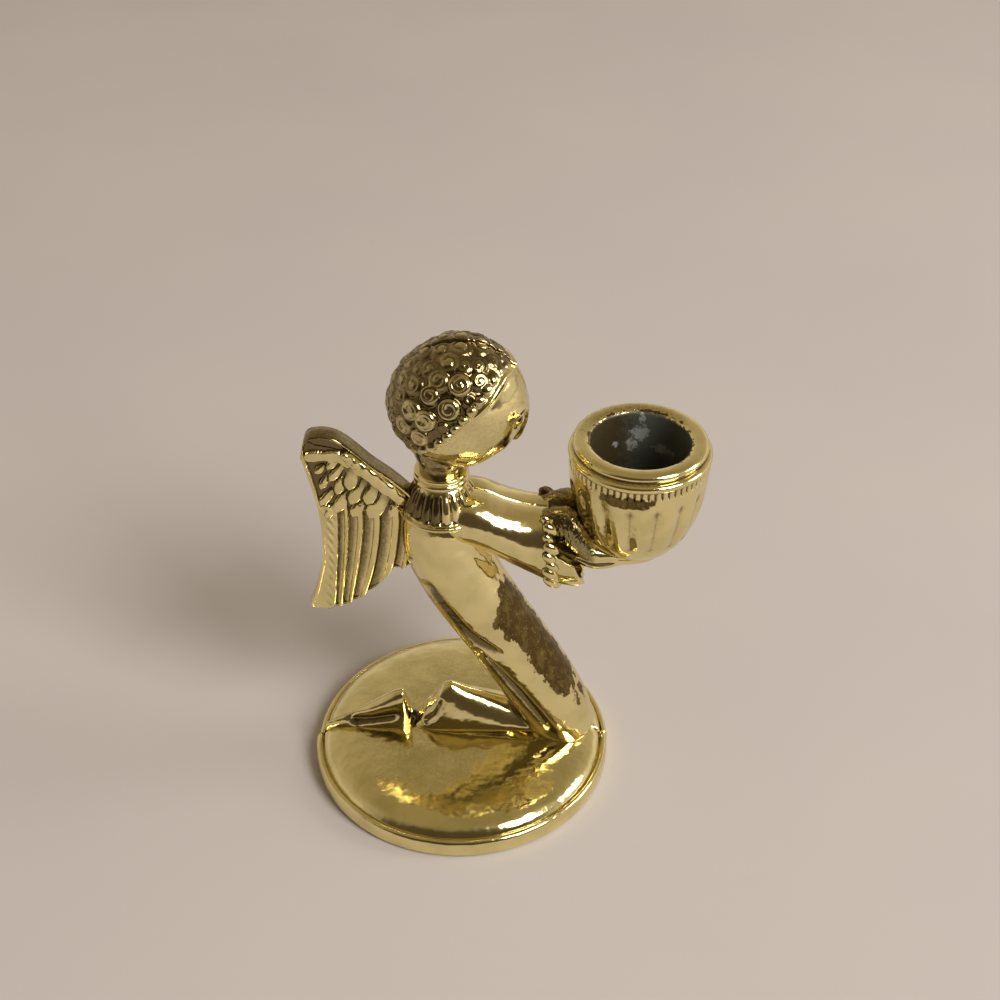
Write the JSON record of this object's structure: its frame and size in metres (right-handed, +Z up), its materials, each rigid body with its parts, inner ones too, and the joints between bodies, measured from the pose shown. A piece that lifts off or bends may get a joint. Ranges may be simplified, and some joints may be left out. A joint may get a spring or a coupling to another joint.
{
  "type": "angel candle holder",
  "caption": "Kneeling winged figure on a round domed base, leaning forward with both hands under a fluted cup that holds a small taper candle.",
  "frame": {"origin": "middle of the round base's underside", "axes": "+Z up, +X the way the figure faces and leans, +Y towards the figure's left side; the mirror plane is y = 0"},
  "size_m": [0.0548, 0.0436, 0.0709],
  "materials": {
    "gold_plating": "polished gold plating, worn brown in places",
    "cup_plating": "polished gold plating outside, bare grey metal inside the socket"
  },
  "bodies": {
    "root": {"base_right_half": "gold_plating", "base_left_half": "gold_plating", "robe_right_half": "gold_plating", "robe_left_half": "gold_plating", "head_right_half": "gold_plating", "head_left_half": "gold_plating", "sleeve_right": "gold_plating", "sleeve_left": "gold_plating", "hand_right": "gold_plating", "hand_left": "gold_plating", "wing_right": "gold_plating", "wing_left": "gold_plating", "collar": "gold_plating", "candle_cup": "cup_plating"}
  },
  "joints": []
}
